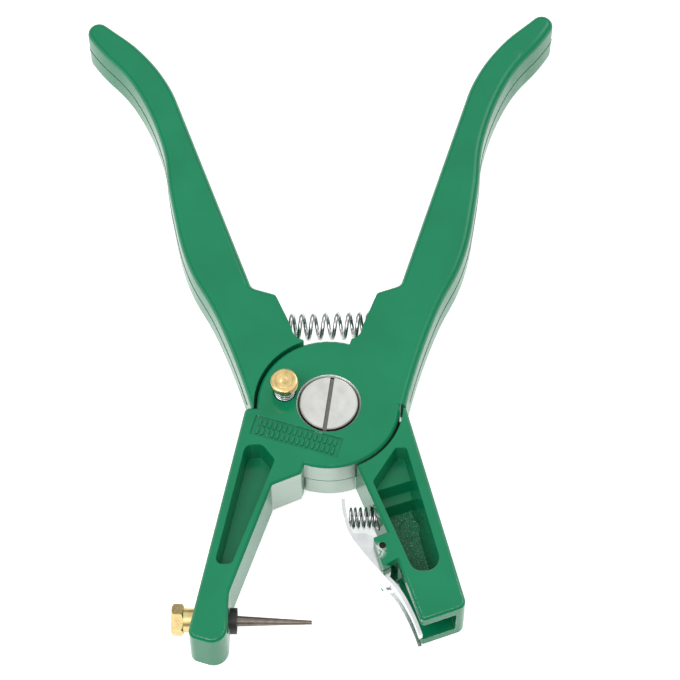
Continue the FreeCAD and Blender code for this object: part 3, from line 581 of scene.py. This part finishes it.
def bars_tree():
    """Rows of raised bars on a flat panel."""
    if "panel_bars" in bpy.data.node_groups:
        return bpy.data.node_groups["panel_bars"]
    tree, given = shape_tree("panel_bars", {
        "Count": "Int", "Pitch": "Float", "Row gap": "Float", "Bar": "Vector", "Centre": "Vector",
        "Turn": "Float", "Material": "Material"})
    wide = math_of(tree, "MULTIPLY", given["Pitch"], math_of(tree, "SUBTRACT", given["Count"], 1.0))
    grid = put(tree, "GeometryNodeMeshGrid", {"Size X": wide, "Size Y": given["Row gap"],
                                              "Vertices X": given["Count"], "Vertices Y": 2})
    bar = put(tree, "GeometryNodeMeshCube", {"Size": given["Bar"]})
    rows = put(tree, "GeometryNodeInstanceOnPoints", {"Points": grid.outputs[0], "Instance": bar.outputs[0]})
    placed = put(tree, "GeometryNodeTransform", {
        "Geometry": rows.outputs[0], "Translation": given["Centre"],
        "Rotation": put(tree, "FunctionNodeEulerToRotation", {
            0: put(tree, "ShaderNodeCombineXYZ", {"Z": given["Turn"]}).outputs[0]}).outputs[0]})
    close_tree(tree, placed.outputs[0], given["Material"])
    return tree


class Step:
    bl_options = {"REGISTER", "UNDO"}


class APPLICATOR_OT_castings(Step, bpy.types.Operator):
    """Enamel the two castings"""
    bl_idname = "applicator.castings"
    bl_label = "Castings"

    def execute(self, context):
        for node in ("needle_lever", "clip_lever"):
            dress(node, "enamel")
        return {"FINISHED"}


class APPLICATOR_OT_parting_lines(Step, bpy.types.Operator):
    """Run the parting flash round both castings"""
    bl_idname = "applicator.parting_lines"
    bl_label = "Parting lines"

    def execute(self, context):
        sizes = context.scene.applicator_sizes
        for node, body in (("needle_lever", "needle_side"), ("clip_lever", "clip_side")):
            line = grown("parting_line_" + body, flash_tree(), {
                "Thickness": sizes.flash, "Material": finish_of("seam")}, parting_path(node, 27 * MM))
            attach(line, body)
        return {"FINISHED"}


class APPLICATOR_OT_panel(Step, bpy.types.Operator):
    """Fill the recessed panel with plain raised bars"""
    bl_idname = "applicator.panel"
    bl_label = "Panel bars"

    def execute(self, context):
        sizes = context.scene.applicator_sizes
        low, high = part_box("needle_lever")
        floor = high.z - PANEL_DEPTH * MM
        bars = grown("panel_bars", bars_tree(), {
            "Count": sizes.bar_count, "Pitch": sizes.bar_pitch, "Row gap": PANEL_ROW_GAP * MM,
            "Bar": (sizes.bar_width, sizes.bar_length, sizes.bar_height * 2),
            "Centre": (PANEL_X * MM, PANEL_Y * MM, floor), "Turn": math.radians(PANEL_TURN),
            "Material": finish_of("enamel")})
        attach(bars, "needle_side")
        return {"FINISHED"}


class APPLICATOR_OT_pivot(Step, bpy.types.Operator):
    """Plate the pivot screw, its nut and the pins"""
    bl_idname = "applicator.pivot"
    bl_label = "Pivot and pins"

    def execute(self, context):
        dress("pivot_screw", "screw")
        for node in ("pivot_nut", "lock_pin"):
            dress(node, "zinc")
        dress("lock_retaining_ring", "spring")
        dress("clip_hinge_pin", "black")
        return {"FINISHED"}


class APPLICATOR_OT_springs(Step, bpy.types.Operator):
    """Wind the three springs"""
    bl_idname = "applicator.springs"
    bl_label = "Springs"

    def execute(self, context):
        sizes = context.scene.applicator_sizes
        handle = wound("handle_spring", sizes.handle_wire, sizes.handle_turns, (1, 0, 0))
        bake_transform(handle)
        lock = wound("lock_spring", sizes.lock_wire, sizes.lock_turns, (0, 0, 1))
        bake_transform(lock)
        clip = wound("clip_spring", sizes.clip_wire, sizes.clip_turns, (1, 0, 0))
        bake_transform(clip)
        return {"FINISHED"}


class APPLICATOR_OT_lock_button(Step, bpy.types.Operator):
    """Turn the brass lock button"""
    bl_idname = "applicator.lock_button"
    bl_label = "Lock button"

    def execute(self, context):
        low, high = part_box("lock_button")
        edge = (high.x - low.x) / 2
        bottom, top = low.z, high.z
        profile = [(0, bottom), (edge - 0.5 * MM, bottom), (edge, bottom + 0.5 * MM), (edge, top - 0.55 * MM),
                   (edge - 0.12 * MM, top - 0.25 * MM), (edge - 0.35 * MM, top - 0.06 * MM),
                   (edge - 0.7 * MM, top), (edge - 1.25 * MM, top), (edge - 1.4 * MM, top - 0.14 * MM),
                   (edge - 1.7 * MM, top - 0.14 * MM), (edge - 1.85 * MM, top - 0.02 * MM),
                   (1.3 * MM, top - 0.02 * MM), (1.1 * MM, top - 0.12 * MM), (0.5 * MM, top - 0.16 * MM),
                   (0, top - 0.2 * MM)]
        button = turned("turned_lock_button", profile, (low + high) / 2, "turned_brass")
        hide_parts("lock_button")
        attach(button, "lock")
        return {"FINISHED"}


class APPLICATOR_OT_needle(Step, bpy.types.Operator):
    """Finish the needle, its collar and its nut"""
    bl_idname = "applicator.needle"
    bl_label = "Needle set"

    def execute(self, context):
        dress("needle", "needle")
        dress("needle_collar", "nylon")
        dress("needle_nut", "brass")
        return {"FINISHED"}


class APPLICATOR_OT_clip(Step, bpy.types.Operator):
    """Polish the pressed clip"""
    bl_idname = "applicator.clip"
    bl_label = "Tag clip"

    def execute(self, context):
        dress("tag_clip", "clip")
        return {"FINISHED"}


class APPLICATOR_OT_stage(Step, bpy.types.Operator):
    """Set the floor, the studio world and the lights"""
    bl_idname = "applicator.stage"
    bl_label = "Stage"

    def execute(self, context):
        scene = context.scene
        scene.view_settings.view_transform = "Standard"
        floor_material, tree = finish_tree("white_floor")
        path = put(tree, "ShaderNodeLightPath")
        mirrored = math_of(tree, "MAXIMUM", path.outputs["Is Glossy Ray"], path.outputs["Is Transmission Ray"])
        seen = math_of(tree, "MAXIMUM", math_of(tree, "MULTIPLY", path.outputs["Is Camera Ray"], 0.65),
                       math_of(tree, "MULTIPLY", mirrored, 0.5))
        paint = put(tree, "ShaderNodeBsdfDiffuse", {"Color": rgba(scene.applicator_colours.floor)})
        glow = put(tree, "ShaderNodeEmission", {"Color": rgba(scene.applicator_colours.floor),
                                                "Strength": seen})
        both = put(tree, "ShaderNodeAddShader", {0: paint.outputs[0], 1: glow.outputs[0]})
        put(tree, "ShaderNodeOutputMaterial", {"Surface": both.outputs[0]})
        reach = 4.0
        mesh = bpy.data.meshes.new("floor")
        mesh.from_pydata([(-reach, -reach, 0), (reach, -reach, 0), (reach, reach, 0), (-reach, reach, 0)], [],
                         [(0, 1, 2, 3)])
        mesh.materials.append(floor_material)
        floor = new_object("floor", mesh)
        low, high = CAD_BOX
        floor.location.z = low.z - 0.05 * MM

        world = bpy.data.worlds.new("studio")
        scene.world = world
        world.use_nodes = True
        tree = world.node_tree
        tree.nodes.clear()
        looked = put(tree, "ShaderNodeTexCoord").outputs["Generated"]
        up = put(tree, "ShaderNodeSeparateXYZ", {0: looked}).outputs["Z"]
        # pale studio with a darker band above the horizon, which bright metal shows as its dark lines
        band = ranged(tree, math_of(tree, "ABSOLUTE", math_of(tree, "SUBTRACT", up, 0.32)), 0.05, 0.3)
        sky = blended(tree, band, linear("#6E7276"), linear("#FFFFFF"))
        light = put(tree, "ShaderNodeBackground", {"Color": (1, 1, 1, 1), "Strength": 0.6})
        mirrored = put(tree, "ShaderNodeBackground", {"Color": sky, "Strength": 1.0})
        shown = put(tree, "ShaderNodeBackground", {"Color": (1, 1, 1, 1), "Strength": 1.0})
        path = put(tree, "ShaderNodeLightPath")
        either = put(tree, "ShaderNodeMixShader", {0: path.outputs["Is Glossy Ray"], 1: light.outputs[0],
                                                   2: mirrored.outputs[0]})
        mix = put(tree, "ShaderNodeMixShader", {0: path.outputs["Is Camera Ray"], 1: either.outputs[0],
                                                2: shown.outputs[0]})
        put(tree, "ShaderNodeOutputWorld", {"Surface": mix.outputs[0]})

        for name, place, size, power in (
                ("key", (-0.55, -0.35, 1.1), 0.7, 6.0), ("rim", (0.7, 0.7, 0.9), 0.6, 2.5),
                ("front", (0.1, -0.75, 1.05), 0.22, 1.2)):
            lamp = bpy.data.lights.new(name, "AREA")
            lamp.size = size
            lamp.energy = power
            piece = new_object(name, lamp)
            piece.location = place
            piece.rotation_euler = (-Vector(place)).to_track_quat("-Z", "Y").to_euler()
        return {"FINISHED"}


class APPLICATOR_OT_camera(Step, bpy.types.Operator):
    """Stand the camera in front of and above the jaws"""
    bl_idname = "applicator.camera"
    bl_label = "Camera"

    def execute(self, context):
        rise = math.radians(CAMERA_RISE)
        lean = math.radians(CAMERA_LEAN)
        forward = Vector((0, math.cos(rise), -math.sin(rise)))
        upward = Vector((0, math.sin(rise), math.cos(rise)))
        pivot = Vector((0, 0, PIVOT_FRONT * MM))
        place = pivot - forward * CAMERA_AWAY + Vector((AIM_RIGHT * MM, 0, 0)) + upward * (AIM_UP * MM)
        turn = Matrix.Rotation(lean, 4, "Z")
        camera = bpy.data.objects.new("camera", bpy.data.cameras.new("camera"))
        context.scene.collection.objects.link(camera)
        camera.data.lens = CAMERA_LENS
        camera.data.sensor_width = 36.0
        camera.data.clip_start = 0.05
        camera.rotation_mode = "QUATERNION"
        camera.location = turn @ place
        camera.rotation_quaternion = (turn @ forward).to_track_quat("-Z", "Y")
        context.scene.camera = camera
        return {"FINISHED"}


STEPS = (APPLICATOR_OT_camera, APPLICATOR_OT_castings, APPLICATOR_OT_parting_lines, APPLICATOR_OT_panel,
         APPLICATOR_OT_pivot, APPLICATOR_OT_springs, APPLICATOR_OT_lock_button, APPLICATOR_OT_needle,
         APPLICATOR_OT_clip, APPLICATOR_OT_stage)


class APPLICATOR_PT_panel(bpy.types.Panel):
    """Lists the applicator's pieces, sizes and colours"""
    bl_idname = "APPLICATOR_PT_panel"
    bl_label = "Ear Tag Applicator"
    bl_space_type = "VIEW_3D"
    bl_region_type = "UI"
    bl_category = "Applicator"

    def draw(self, context):
        for step in STEPS:
            self.layout.operator(step.bl_idname)
        for group in (context.scene.applicator_sizes, context.scene.applicator_colours):
            for name in group.__annotations__:
                self.layout.prop(group, name)


CLASSES = (ApplicatorSizes, ApplicatorColours) + STEPS + (APPLICATOR_PT_panel,)


def register():
    for item in CLASSES:
        bpy.utils.register_class(item)
    bpy.types.Scene.applicator_sizes = PointerProperty(type=ApplicatorSizes)
    bpy.types.Scene.applicator_colours = PointerProperty(type=ApplicatorColours)


def unregister():
    del bpy.types.Scene.applicator_sizes, bpy.types.Scene.applicator_colours
    for item in reversed(CLASSES):
        bpy.utils.unregister_class(item)


def main():
    register()
    for step in STEPS:
        group, name = step.bl_idname.split(".")
        getattr(getattr(bpy.ops, group), name)()


if __name__ == "__main__":
    main()
